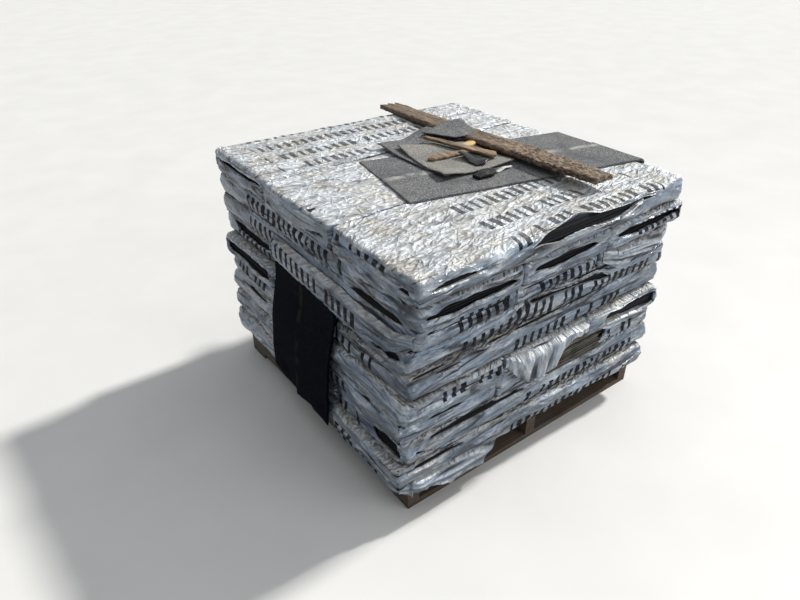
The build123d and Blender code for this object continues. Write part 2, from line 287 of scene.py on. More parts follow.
class Bundle:
    """Place and size of one wrapped bundle."""

    def __init__(self, layer, points):
        self.layer = layer
        way = longest_edge(points[:, :2])
        along_x = abs(way[0]) > abs(way[1])
        way = way * np.sign(way[0 if along_x else 1])
        self.way = np.array([*way, 0])
        # Across points back in layers along X, and right in layers along Y
        self.across = np.array([-way[1], way[0], 0]) * (1 if along_x else -1)
        along_places, across_places = points @ self.way, points @ self.across
        self.length, self.width = np.ptp(along_places), np.ptp(across_places)
        self.centre = (self.way * (along_places.max() + along_places.min()) / 2
                       + self.across * (across_places.max() + across_places.min()) / 2
                       + np.array([0, 0, deck_top + (layer - 0.5) * layer_height]))

    def set_row(self, row):
        """row is -1, 0 or 1, in the direction of across."""
        self.row, self.key = row, (self.layer, row)
        self.front, self.on_top = row < 0, self.layer == layers
        # Way to the outer side, and the number of that side in a section
        self.outer = -1 if self.front else 1
        self.outer_side = {-1: 6, 1: 2}.get(row)
        self.seed = self.layer * 3.3 + row * 1.1

    def world(self, own):
        """Own coordinates (along, across, up) to the part's frame, on the sunken stack."""
        return settle(self.centre + own @ np.array([self.way, self.across, [0, 0, 1]]))

    def opening(self, end):
        """Opening at the near (-1) or far (1) end, or None."""
        if end < 0:
            return near_openings.get(self.key)
        return far_opening if (self.layer + self.row) % 2 else None


bundles = []
for layer in range(1, layers + 1):
    found = [Bundle(layer, points) for points in solid_points(f"wrap_layer_{layer}")]
    # A closed sleeve's inside is a shell of its own, a little shorter than the outside
    found = sorted(found, key=lambda bundle: -bundle.length)[:3]
    found.sort(key=lambda bundle: bundle.centre @ bundle.across)
    for row, bundle in enumerate(found, -1):
        bundle.set_row(row)
    bundles += found


# Draped shingles: one hangs from between two layers, one lies on top and bends down at the back

shingle_length = 1000 * mm
shingle_width = shingle_length / 3
half = shingle_width / 2
ply = 3 * mm
drape_round = 16 * mm
bend_length = drape_round * math.pi / 2
overlay_edge = -half + 0.56 * shingle_width


class Drape:
    """A shingle that lies on a bed, bends down over an edge and hangs."""

    def __init__(self, node, side, bed, fold_y, turn, drop, lying, lean=0.0):
        self.side, self.bed, self.fold_y = side, bed, fold_y
        self.drop, self.lying, self.lean = drop, lying, lean
        self.slope = math.radians(turn)
        low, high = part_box(node)
        # How far out the inner face hangs
        self.wall = (high.x if side > 0 else -low.x) - 2 * ply

    def set_back(self, z):
        """How much nearer to the stack the shingle hangs than at its foot."""
        return self.lean * smooth_step(230 * mm, 0, self.bed - z)

    def points(self, part, place, raise_by, drop_change):
        """Points of a ply: part runs from 0 at the lying end to 1 at the hanging end."""
        side, sin, cos = self.side, math.sin(self.slope), math.cos(self.slope)
        way = part * (self.lying + bend_length + self.drop)
        start = self.wall - self.lean - drape_round
        fold = self.fold_y + place / cos
        lying_share = np.clip(way / self.lying, 0, 1)
        end_out = start - self.lying * cos - place * sin * side
        end_y = self.fold_y - side * self.lying * sin + place * cos
        angle = np.clip((way - self.lying) / bend_length, 0, 1) * math.pi / 2
        radius = drape_round + raise_by
        hang = np.clip((way - self.lying - bend_length) / self.drop, 0, 1)
        hang_y = self.fold_y + side * self.drop * sin + place * cos
        out = end_out + (start - end_out) * lying_share + radius * np.sin(angle)
        y = end_y + (fold - end_y) * lying_share + (hang_y - fold) * hang
        z = (self.bed - drape_round + radius * np.cos(angle)
             - hang * ((self.drop + drop_change) * cos - side * place * sin))
        out = out + np.where(hang > 0, self.lean - self.set_back(z + drape_round), 0)
        return join(side * out, y, z), hang


def slab(points, thickness):
    """Closed sheet round a grid of points, with its faces."""
    rows, columns = points.shape[:2]
    normal = np.cross(np.gradient(points, axis=0), np.gradient(points, axis=1))
    normal = normal / np.linalg.norm(normal, axis=-1)[..., None]
    both = np.concatenate([points + normal * thickness / 2, points - normal * thickness / 2])
    size = rows * columns
    at = np.arange(size).reshape(rows, columns)
    quads = np.stack([at[:-1, :-1], at[1:, :-1], at[1:, 1:], at[:-1, 1:]], -1).reshape(-1, 4)
    rim = np.concatenate([at[0], at[1:, -1], at[-1, -2::-1], at[-2:0:-1, 0]])
    after = np.roll(rim, -1)
    walls = np.column_stack([rim, after, after + size, rim + size])
    return both.reshape(-1, 3), np.concatenate([quads, size + quads[:, ::-1], walls])


def drape_piece(name, drape, plies, material, slot, shake):
    """Draped shingle of several plies: (far edge, height, drop change at each side)."""
    sheaf = Sheaf()
    part = np.linspace(0, 1, 170)[:, None]
    share = np.linspace(0, 1, 48)[None, :]
    for number, (far_edge, height, change) in enumerate(plies):
        low_line = -half + noises[2](join(part * 60, number, 0.0)) * 3 * mm
        high_line = far_edge + noises[3](join(part * 60 + 9, number, 0.0)) * 3 * mm
        across = low_line + (high_line - low_line) * share
        drop_change = change[0] + (change[1] - change[0]) * share
        drop_change = drop_change + noises[4](join(share * 30, number, 0.0)) * 6 * mm
        points, hang = drape.points(part, across, height + ply / 2, drop_change)
        flex = np.abs(noises[5](points * 7) * shake * mm)
        points[..., 0] += drape.side * flex * hang * 1.2
        points[..., 2] += np.where(hang > 0, 0, flex * 0.6)
        lie = join(part, across, 0.0)
        sheaf.add(*slab(settle(points), ply), lie=np.concatenate([lie, lie]))
    place(sheaf.object(name, material), slot, name)


hanging = Drape("hanging_shingle", -1, 547 * mm, -35 * mm, -5.5, 416 * mm, 60 * mm, 22 * mm)
loose_drop = 205 * mm
loose = Drape("loose_shingle", 1, stack_top, -185 * mm, -10.7, loose_drop,
              shingle_length - loose_drop - bend_length)


def press(points):
    """Film points, held back where a shingle lies or hangs on the film."""
    points = points.copy()
    x, y, z = points[..., 0], points[..., 1], points[..., 2]
    margin, clearance = 8 * mm, 1 * mm
    sin, cos = math.sin(loose.slope), math.cos(loose.slope)
    ahead = (loose.wall - x) * cos - (y - loose.fold_y) * sin
    aside = (loose.wall - x) * sin + (y - loose.fold_y) * cos
    below = (ahead < loose.lying + margin) & (np.abs(aside) < half + margin) & (z > stack_top - 60 * mm)
    bed = stack_top - sink(x, y) - 0.8 * mm
    points[..., 2] = np.where(below, np.minimum(z, bed), z)
    slant = hanging.fold_y - (z - hanging.bed) * math.sin(hanging.slope)
    behind = (np.abs(y - slant) < half + 2.5 * margin) & (z < hanging.bed)
    wall = hanging.wall - hanging.set_back(z) - clearance
    points[..., 0] = np.where(behind, np.maximum(points[..., 0], -wall), points[..., 0])
    beside = (np.abs(y - loose.fold_y) < half + 5 * margin) & (z > stack_top - 260 * mm)
    points[..., 0] = np.where(beside, np.minimum(points[..., 0], loose.wall - clearance), points[..., 0])
    return points


# Film round the bundles

end_round_along = 14 * mm
end_round_across = 16 * mm
end_round_up = 14 * mm
outer_edge_round = 18 * mm
inner_edge_round = 6 * mm
side_bulge = 4 * mm
film_inset = 1.5 * mm
junction_step = 18 * mm
groove_depth = 4 * mm
pocket_depth = 12 * mm
full_ridge = 6 * mm


def section_samples(counts, split_side=None):
    """Places round a section: side number, part of that side, and copy.

    Even sides are straight: bottom, right, top and left. Odd ones are the corners after them.
    The split side has two copies of its middle place, so that the film can open there.
    """
    rows = []
    for number, count in enumerate(counts):
        for step in range(count):
            split = number == split_side and step == count // 2
            rows += [(number, step / count, copy) for copy in ((1, 2) if split else (0,))]
    side, part, copy = np.array(rows).T
    return side.astype(int), part, copy


def section_profile(side, part, a, b, radii):
    """Points and outward normals round a section: across and up."""
    radii = np.array(radii)
    corner = side // 2
    last = corner - (side % 2 == 0)
    angle = np.pi / 2 * (corner - 1 + side % 2 * part)
    swell = side_bulge * 4 * part * (1 - part) * (side % 4 == 2)
    # Exactly 0 along the straight sides
    normals = [np.where(np.abs(share) < 1e-15, 0, share) for share in (np.cos(angle), np.sin(angle))]

    def run(size, signs, normal):
        start, stop = np.array(signs)[last], np.array(signs)[corner]
        travel = (2 * size - radii[last] - radii[corner]) * part * (start != stop)
        return start * (size - radii[last] - travel) + (radii[last] + swell) * normal

    return np.broadcast_arrays(run(a, (1, 1, -1, -1), normals[0]), run(b, (-1, 1, 1, -1), normals[1]), *normals)


def grid_faces(rows, columns):
    """Quads of a grid whose columns close in a ring."""
    row, column = np.meshgrid(np.arange(rows - 1), np.arange(columns), indexing="ij")
    beside = (column + 1) % columns
    return np.stack([row * columns + column, row * columns + beside,
                     (row + 1) * columns + beside, (row + 1) * columns + column], -1).reshape(-1, 4)


def stitch(ring_a, places_a, ring_b, places_b):
    """Triangles between two closed rings with different counts."""
    faces = []
    a = b = 0
    count_a, count_b = len(ring_a), len(ring_b)
    while a < count_a or b < count_b:
        next_a = places_a[a + 1] if a + 1 < count_a else 1.0 + (a >= count_a)
        next_b = places_b[b + 1] if b + 1 < count_b else 1.0 + (b >= count_b)
        here_a, here_b = ring_a[a % count_a], ring_b[b % count_b]
        if next_a <= next_b:
            a += 1
            faces.append((here_a, ring_a[a % count_a], here_b))
        else:
            b += 1
            faces.append((here_a, ring_b[b % count_b], here_b))
    return faces


def crumple(at, normals, folds, crumples):
    """Height of the film's folds over its smooth form."""
    bent = at + np.stack([noises[k](at * 11 + 7 * k) for k in (0, 1, 2)], -1) * 26 * mm
    end_share = smooth_step(0.35, 0.9, np.abs(normals[..., 0]))

    def both_ways(number, power, on_tube, on_end):
        return (crease(bent * on_tube, number) ** power * (1 - end_share)
                + crease(bent * on_end, number) ** power * end_share)

    long_folds = both_ways(3, 1.4, (4.5, 27, 27), (27, 5, 27))
    fine_folds = both_ways(4, 1, (12, 55, 55), (55, 14, 55))
    swell = noises[5](at * (6, 16, 16))
    patches = smooth_step(-0.2, 0.35, noises[6](at * (6, 9, 9)))
    small, tiny = crease(bent * 34, 7, 0.35), crease(bent * 70 + 3, 6, 0.4)
    calm = 0.6 + 0.4 * np.abs(normals[..., 2])
    return mm * (5.0 * swell + folds * (4.4 * long_folds + 1.8 * fine_folds)
                 + crumples * calm * patches * (2.4 * small + 1.2 * tiny) - 2.4)


def groove_share(bundle, own):
    """How far film points lie in the grooves between the layers."""
    shake = 0.16 * noises[0](join(own[..., 0] * 9, own[..., 1] * 9, bundle.layer * 3.7))
    level = own[..., 2] / half_height + shake
    groove = smooth_step(0.7, 0.98, -level)
    if not bundle.on_top:
        groove = np.maximum(groove, smooth_step(0.76, 1, level))
    return groove


def pocket_share(bundle, face, place, up):
    """How far film points lie in a pocket of a face, 1 in its middle."""
    share = np.zeros_like(place + up)
    for kind, middle, level, width, height, rise in pockets.get(bundle.key, ()):
        if kind == face:
            off = (place - middle * mm) / (width * mm / 2)
            off = off + 0.25 * noises[1](join(place * 20, level, 0.0))
            drop = np.abs(up - (level + rise * off) * mm) / (height * mm / 2)
            share = np.maximum(share, smooth_step(0, 0.45, 1 - off ** 2 - drop))
    return share


def fold_film(bundle, own, normals, face, place, faces_out, change, lift=0.0):
    """Film points moved by folds, grooves and pockets, and how far each stands out.

    That is 1 on a ridge, -1 in a groove and -2 in a pocket; from it the film's colour paints highlights on
    ridges and shade in grooves and pockets.
    """
    offset = np.array([1.3, 0.7, 0]) * bundle.seed
    height = change * crumple(own + offset, normals, *film_looks.get(bundle.key, (1.0, 1.0)))
    if not bundle.on_top:
        shown = 1 - 0.8 * smooth_step(0.8, 1, np.abs(normals[..., 2]))
        height = height * shown - np.where(shown < 1, 0.6 * mm, 0)
    height = height + lift
    groove = groove_share(bundle, own)
    pocket = pocket_share(bundle, face, place, own[..., 2]) * faces_out
    # How far each point stands out, for painted highlights and painted shade
    stand_out = np.clip(height / full_ridge, -1, 1) - groove
    stand_out = stand_out + (-2 - stand_out) * pocket
    inwards = normals * (1, 1, 0) * (groove_depth * groove + pocket_depth * pocket)[..., None]
    return own + normals * height[..., None] - inwards, stand_out


def lens_points(opening, a, b, across, up, seed):
    """Points of a lens-shaped opening's edge that belong to points round the end's outline."""
    shift_across, shift_up, width, height = opening
    part, level = np.clip(across / a, -1, 1), up / b
    wobble = 1 + 0.5 * noises[1](join(part * 2.6 + seed, seed * 3.1, level))
    lens_across = np.clip(shift_across + part * width / 2, -a * 0.97, a * 0.97)
    pointed = 0.6 if height < 42 * mm else 0.3
    lens_up = shift_up + level * height / 2 * np.clip(1.02 - part ** 2, 0, 1) ** pointed * wobble
    return lens_across, np.clip(lens_up, -b * 0.98, b * 0.98)


def climbed(bundle, side, part, across, up):
    """Distance round the section, from the middle of the bundle's outer side upwards."""
    steps = np.hypot(np.diff(across, append=across[:1]), np.diff(up, append=up[:1]))
    run = np.concatenate([[0], np.cumsum(steps)[:-1]])
    if bundle.outer < 0:
        run = np.where(side == 0, run + steps.sum(), run)
    outer_side = np.nonzero(side == 4 - 2 * bundle.outer)[0]
    middle = np.interp(0, *zip(*sorted((part[k] - 0.5, run[k]) for k in outer_side)))
    return (run - middle) * bundle.outer


def film_values(bundle, own, climb, face):
    """Flow coordinates and print of film points."""
    along, across, up = np.moveaxis(own, -1, 0)
    first_row, pitch, zones = printed_rows.get(bundle.key, other_print)
    flow_along, flow_across, reach = (along, climb, along) if face == "tube" else (across + 2.0, up, across)
    row = (flow_across - first_row * mm) / (pitch * mm)
    ink = np.zeros_like(along)
    for zone_face, low, high, start, end in zones:
        if zone_face == face:
            fits = (row > low - 0.5) & (row < high + 0.5) & (reach > start * mm) & (reach < end * mm)
            ink = np.where(fits, 1.0, ink)
    return (join(flow_along + bundle.seed * 1.7, flow_across, bundle.seed * 0.37),
            join(flow_along + bundle.seed * 0.91, row, ink))


def film_end(bundle, sheaf, end, samples, radii, cap_rings):
    """One end of a bundle's film. Gives the ring that the tube joins."""
    side, part, _ = samples
    a, b, seed = bundle.width / 2 - film_inset, half_height, bundle.seed
    closed = bundle.opening(end) is None
    opening = np.array((0, 14 * math.sin(seed * 2.3), 270, 1) if closed else bundle.opening(end)) * mm
    round_up = min(end_round_up, b - opening[3] / 2 - 2.5 * mm)

    turns = np.radians([0, 0, 0, 22, 45, 68, 90])[:, None]
    backs = junction_step * np.array([1, 0.6, 0.25, 0, 0, 0, 0])[:, None]
    sin, cos = np.sin(turns), np.cos(turns)
    across, up, normal_across, normal_up = section_profile(
        side, part, a - end_round_across * (1 - cos), b - round_up * (1 - cos), radii)
    tube = join(bundle.length / 2 - end_round_along * (1 - sin) - backs, across, up)
    tube_normals = join(sin, cos * normal_across, cos * normal_up)

    # Film drawn in over the end, down to the edge of the opening
    share = np.linspace(0, 1, cap_rings + 1)[1:, None]
    lens_across, lens_up = lens_points(opening, a - end_round_across, b - round_up, across[-1], up[-1],
                                       seed + end)
    pouch = (3 + 3 * noises[2](join(across[-1] * 9, up[-1] * 9, seed))) * mm
    tuck = (7 if closed else 2) * mm
    cap = join(bundle.length / 2 + pouch * np.sin(np.pi * share) - tuck * share ** 2,
               across[-1] + (lens_across - across[-1]) * share, up[-1] + (lens_up - up[-1]) * share)

    # The opening's edge is rolled inwards
    rim = join(bundle.length / 2 - tuck - np.array([[1.6], [7.0]]) * mm,
               opening[0] + (lens_across - opening[0]) * np.array([[0.985], [1.01]]),
               lens_up + np.sign(lens_up - opening[1]) * np.array([[-0.8], [2.5]]) * mm)

    own = np.concatenate([tube, cap, rim]) * (end, 1, 1)
    normals = np.concatenate([tube_normals, 0 * cap + (1, 0, 0), 0 * rim + (1, 0, 0)]) * (end, 1, 1)
    change = np.ones((len(own), 1))
    change[-1] = 0.3
    end_face = "near" if end < 0 else "far"
    own, stand_out = fold_film(bundle, own, normals, end_face, own[..., 1], np.abs(normals[..., 0]), change)
    climb = climbed(bundle, side, part, across[0], up[0])
    first = sheaf.count
    # The end's own print and creases start at the fold round its edge
    for rings, face in ((slice(0, 6), "tube"), (slice(5, None), end_face)):
        flow, print_at = film_values(bundle, own[rings], climb, face)
        sheaf.add(press(bundle.world(own[rings])), grid_faces(len(flow), len(side))[:, ::end],
                  flow=flow, print=print_at, relief=stand_out[rings])
    return range(first, first + len(side))


def section_plan(bundle):
    """Places on each side of the tube's and the ends' sections, and the radii of their corners."""
    # Few places where neighbours hide the film, many where it shows
    tube_counts = [5, 2, 2, 2, 5, 2, 2, 2]
    radii = [inner_edge_round] * 4
    if bundle.outer_side:
        tube_counts[bundle.outer_side] = 20 if bundle.front else 14
        for corner in (bundle.outer_side - 1, bundle.outer_side + 1):
            tube_counts[corner] = 6 if bundle.front else 4
            radii[corner // 2] = outer_edge_round
    if bundle.on_top:
        tube_counts[3:6] = max(tube_counts[3], 3), 84, max(tube_counts[5], 3)
    end_counts = [44, 4, 12, 4, tube_counts[4] if bundle.on_top else 44, 4, 12, 4]
    return tube_counts, end_counts, radii


def open_side(outline, places, radii, a, b, along, across, up, normal_across, normal_up):
    """Film of the front row drawn apart at a side opening. Gives the opened rings and the new section."""
    side, part, copy = places
    start, stop = outline[[0, -1], 0]
    opened = (along > start) & (along < stop)
    low, high = (np.interp(along, outline[:, 0], outline[:, column]) for column in (1, 2))
    middle = (low + high) / 2
    # The split leaves the outline only near the opening
    near = smooth_step(-120 * mm, 0, along - start) * smooth_step(-120 * mm, 0, stop - along)
    low, high = (np.where(opened, edge, middle) * near for edge in (low, high))
    above = (side == 6) & ((part < 0.5) | (copy == 1))
    below = (side == 6) & ((part > 0.5) | (copy == 2))
    round_here = radii[2]
    edge_up, edge_low, bend = b - round_here, b - radii[3], round_here * math.pi / 2
    # Distance up the side and over the edge, drawn together above the opening
    climb = np.select([above, side == 5, side == 4],
                      [up, edge_up + bend * (1 - part), edge_up + bend + across + a - round_here], 9.0)
    reach_up = edge_up + bend + 80 * mm
    moved = climb < reach_up
    climb = high + climb * (reach_up - high) / reach_up
    turn = np.clip((climb - edge_up) / round_here, 0, math.pi / 2)
    sin, cos = np.sin(turn), np.cos(turn)
    down = (edge_up - climb) / (edge_up + edge_low)
    swell = side_bulge * 4 * np.clip(down * (1 - down), 0, 1)
    over = np.maximum(climb - edge_up - bend, 0)
    across, up, normal_across, normal_up = (np.where(moved, new, old) for new, old in (
        (-(a - round_here) - round_here * cos - swell + over, across),
        (np.minimum(climb, edge_up) + round_here * sin, up), (-cos, normal_across), (sin, normal_up)))
    up = np.where(below, low + up * (edge_low + low) / edge_low, up)
    return opened[:, 0], across, up, normal_across, normal_up


def rolled_edges(bundle, sheaf, own, normals, flow, opened, upper):
    """Strips that roll the film inwards along both edges of a side opening."""
    size = int(opened.sum())
    quads = [(k, k + 1, size + k + 1, size + k) for k in range(size - 1)]
    for column, lift in ((upper, 2 * mm), (upper + 1, -2 * mm)):
        edge = own[opened, column]
        inner = edge - normals[opened, column] * 8 * mm + (0, 0, lift)
        values = np.concatenate([flow[opened, column]] * 2)
        sheaf.add(bundle.world(np.concatenate([edge, inner])), quads, flow=values, print=0 * values, relief=0)


def film_bundle(bundle, sheaf):
    """Film round one bundle."""
    tube_counts, end_counts, radii = section_plan(bundle)
    outline = side_openings.get(bundle.layer) if bundle.front else None
    side, part, copy = section_samples(tube_counts, bundle.outer_side if outline else None)
    ends = section_samples(end_counts)
    near_ring, far_ring = (film_end(bundle, sheaf, end, ends, radii, cap_rings)
                           for end, cap_rings in ((-1, 9), (1, 6)))

    reach = bundle.length / 2 - end_round_along - junction_step - 5 * mm
    spacing = 4.6 if bundle.on_top else 60 if not bundle.outer_side else 5 if bundle.front else 7
    count, columns = int(2 * reach / (spacing * mm)) + 1, len(side)
    along = np.linspace(-reach, reach, count)[:, None]
    a, b = bundle.width / 2 - film_inset, half_height
    across, up, normal_across, normal_up = section_profile(side, part, a + 0 * along, b, radii)
    opened = np.zeros(count, bool)
    if outline:
        opened, across, up, normal_across, normal_up = open_side(
            np.array(outline, float) * mm, (side, part, copy), radii, a, b,
            along, across, up, normal_across, normal_up)

    normals = join(0.0, normal_across, normal_up)
    flattened = 1 - 0.55 * smooth_step(0.7, 1, normal_up) if bundle.on_top else 1.0
    own, stand_out = fold_film(bundle, join(along, across, up), normals, "tube", along,
                               normal_across * bundle.outer > 0.5, flattened,
                               2.2 * mm * ((copy > 0) & opened[:, None]))
    flow, print_at = film_values(bundle, own, climbed(bundle, side, part, across[0], up[0]), "tube")
    faces = grid_faces(count, columns)
    if outline:
        upper = int(np.argmax(copy == 1))
        faces = faces[faces[:, 0] % columns != upper]
        # Closed stretches share one point for both copies
        weld = np.arange(count * columns).reshape(count, columns)
        weld[~opened, upper + 1] = weld[~opened, upper]
        faces = weld.ravel()[faces]
    first = sheaf.count
    sheaf.add(press(bundle.world(own)), faces, flow=flow, print=print_at, relief=stand_out)
    if outline:
        rolled_edges(bundle, sheaf, own, normals, flow, opened, upper)

    places, end_places = (side + part) / 8, (ends[0] + ends[1]) / 8
    near_tube = range(first, first + columns)
    far_tube = range(first + (count - 1) * columns, first + count * columns)
    sheaf.faces += stitch(near_ring, end_places, near_tube, places)
    sheaf.faces += [face[::-1] for face in stitch(far_ring, end_places, far_tube, places)]


# Sheets inside the bundles

sheets_per_bundle = 20
sheet_thickness = 3 * mm
sheet_side_inset = 5 * mm
# How dusty the sheets are, as (layer, row), 0 elsewhere. The low value at (4, 1) darkens those sheets as
# painted shade in that opening
dust_and_shade_by_bundle = {(4, 0): 1.0, (4, 1): 0.15, (3, 0): 1.0, (3, 1): 0.9}


def raised(plan, level):
    """Plan points with a third coordinate."""
    return np.column_stack([plan, np.broadcast_to(level, len(plan))])


def divided(loop, steps):
    """Closed loop of plan points, each side cut into its number of steps."""
    return np.concatenate([here + (there - here) * np.arange(count)[:, None] / count
                           for here, there, count in zip(loop, np.roll(loop, -1, axis=0), steps)])


def prism(plan, low, high):
    """Closed sheet over a loop of plan points, with its faces."""
    count = len(plan)
    faces = [(k, (k + 1) % count, (k + 1) % count + count, k + count) for k in range(count)]
    faces += [tuple(range(count))[::-1], tuple(range(count, 2 * count))]
    return np.concatenate([raised(plan, low), raised(plan, high)]), faces


def sheet_pile(bundle, sheaf, draw):
    """The shingles of one bundle, each with its own edges."""
    pitch = (layer_height - 4 * mm) / sheets_per_bundle
    half_length, half_width = bundle.length / 2 - 4 * mm, bundle.width / 2 - sheet_side_inset
    for number in range(sheets_per_bundle):
        low = -half_height + 2 * mm + number * pitch
        inset = 7 * mm * smooth_step(0.72, 1, abs(low + pitch / 2) / half_height)
        insets = inset + draw.uniform(0, 4, 4) * mm
        for slot, end in enumerate((-1, 1)):
            if bundle.opening(end) is not None:
                insets[slot] += (4 + draw.uniform(0, 7)) * mm
        back, ahead = -half_length + insets[0], half_length - insets[1]
        left, right = -half_width + insets[2], half_width - insets[3]
        corners = np.array([(back, left), (ahead, left), (ahead, right), (back, right)])
        plan = divided(corners, (14, 8, 14, 8))
        low = low + noises[3](raised(plan * 9, number * 0.7)) * 0.6 * mm
        plan = plan + noises[4](raised(plan * 25, number))[:, None] * mm
        points, faces = prism(plan, low, low + sheet_thickness)
        dust = dust_and_shade_by_bundle.get(bundle.key, 0.0)
        sheaf.add(bundle.world(points), faces, dust=dust, tone=draw.uniform(0, 1))


def bare_sheets(draw):
    """Dusty sheets that stand out where the film is torn from two layers."""
    sheaf = Sheaf()
    for number, level in enumerate(level for level in range(158, 258, 7) if not 220 < level < 228):
        left = np.interp(level, (158, 184, 223, 240, 261), (10, 10, 45, 95, 170)) + draw.uniform(-4, 4)
        right = np.interp(level, (158, 221, 261), (244, 222, 200)) + draw.uniform(-7, 7)
        front = 508 + draw.uniform(0, 5)
        reach = np.linspace(left, right, 24)
        edge = front + 3 * noises[4](join(reach * 0.03, number, 0.0))
        plan = np.concatenate([join(reach, -edge), join(reach[::-1], -490)]) * mm
        low = deck_top + level * mm + noises[3](raised(plan * 12, number * 0.7)) * 1.2 * mm
        points, faces = prism(plan, low, low + 4 * mm)
        sheaf.add(settle(points), faces, dust=1, tone=draw.uniform(0, 1))
    place(sheaf.object("bare_sheets", sheet_edges, smooth=False), "shingle_edge")


# Broken pieces on top

def node_outline(node):
    """Plan of a flat node, as an ordered loop of points."""
    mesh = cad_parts[node].data
    key = [(round(vertex.co.x, 5), round(vertex.co.y, 5)) for vertex in mesh.vertices]
    upper_faces = [tuple(polygon.vertices) for polygon in mesh.polygons if polygon.normal.z > 0.9]
    edges = dict.fromkeys((key[here], key[there]) for face in upper_faces
                          for here, there in zip(face, face[1:] + face[:1]))
    after = {here: there for here, there in edges if (there, here) not in edges}
    loop = [next(iter(after))]
    while after[loop[-1]] != loop[0]:
        loop.append(after[loop[-1]])
    return np.array(loop)


def inside_outline(outline, points):
    """Which plan points lie inside a closed outline."""
    x, y = points.T
    inside = np.zeros(len(points), bool)
    for (x1, y1), (x2, y2) in zip(outline, np.roll(outline, -1, axis=0)):
        slope = (x2 - x1) / (y2 - y1) if y2 != y1 else 0
        inside ^= ((y1 > y) != (y2 > y)) & (x < x1 + (y - y1) * slope)
    return inside


def plate(node, material, slot, spacing, surface, ragged, seed):
    """Closed plate in place of a flat node. surface gives the low and high face over plan points."""
    outline = node_outline(node)
    lengths = np.hypot(*(np.roll(outline, -1, axis=0) - outline).T)
    border = divided(outline, np.maximum(1, (lengths / spacing).astype(int)))
    border = border + np.column_stack([noises[k](raised(border * 55, seed)) for k in (1, 2)]) * ragged
    low, high = border.min(0), border.max(0)
    grid = np.stack(np.meshgrid(*(np.arange(low[k], high[k], spacing) for k in (0, 1))), -1).reshape(-1, 2)
    grid = grid[inside_outline(border, grid)]
    gaps = np.linalg.norm(grid[:, None] - border[None], axis=2).min(1)
    count = len(border)
    flat = [Vector(point) for point in np.concatenate([border, grid[gaps > spacing * 0.55]])]
    border_edges = [(k, (k + 1) % count) for k in range(count)]
    plan, _, triangles, *_ = delaunay_2d_cdt(flat, border_edges, [], 1, 1e-6)
    plan = np.array([tuple(point) for point in plan])
    bottom, top = surface(plan)
    size = len(plan)
    faces = [tuple(size + corner for corner in triangle) for triangle in triangles]
    faces += [tuple(triangle[::-1]) for triangle in triangles]
    edges = dict.fromkeys(edge for triangle in triangles
                          for edge in zip(triangle, triangle[1:] + triangle[:1]))
    faces += [(here, there, there + size, here + size) for here, there in edges if (there, here) not in edges]
    sheaf = Sheaf()
    sheaf.add(np.concatenate([raised(plan, bottom), raised(plan, top)]), faces)
    place(sheaf.object(node, material), slot, node)


def flat_rest(height, thickness, lifts, wave=1.0, seed=0.0):
    """Faces of a thin piece that rests at a height, with corners that curl up.

    Each lift is (x, y, rise, reach) in millimetres.
    """
    def surface(plan):
        rest = height - sink(*plan.T) + np.abs(noises[3](raised(plan * 9, seed))) * 4 * wave * mm
        for x, y, rise, reach in lifts:
            gap = np.hypot(plan[:, 0] - x * mm, plan[:, 1] - y * mm)
            rest = rest + rise * mm * smooth_step(reach * mm, 0, gap)
        return rest, rest + thickness
    return surface


splinter_thickness = 8 * mm


def stick(height):
    """Faces of a splinter that rests at a height."""
    def surface(plan):
        rest = height - sink(*plan.T)
        return rest, rest + splinter_thickness + noises[4](raised(plan * 120, 0)) * 2 * mm
    return surface


board_back, board_middle = 560 * mm, 212 * mm
board_rest, board_slope, board_thickness = 778 * mm, 0.0065, 17 * mm


def board_surface(plan):
    """The board lies straight, its front end clear of the sunken film."""
    x, y = plan.T
    low = board_rest + (board_back - y) * board_slope
    grain = noises[4](join(x * 130, y * 7, 0)) * 3.2 * mm
    chips = crease(join(x * 60, y * 26, 3), 5) * 4 * mm
    bark = smooth_step(-60 * mm, -180 * mm, y) * (1 - smooth_step(-380 * mm, -430 * mm, y))
    rough = np.abs(noises[6](join(x * 90, y * 60, 0))) * 16 * mm * bark
    crown = -4 * mm * smooth_step(0.6, 1.1, np.abs(x - board_middle) / (45 * mm))
    return low + grain * 0.4, low + board_thickness + grain - chips * 0.5 + rough + crown


# Loose film on the faces

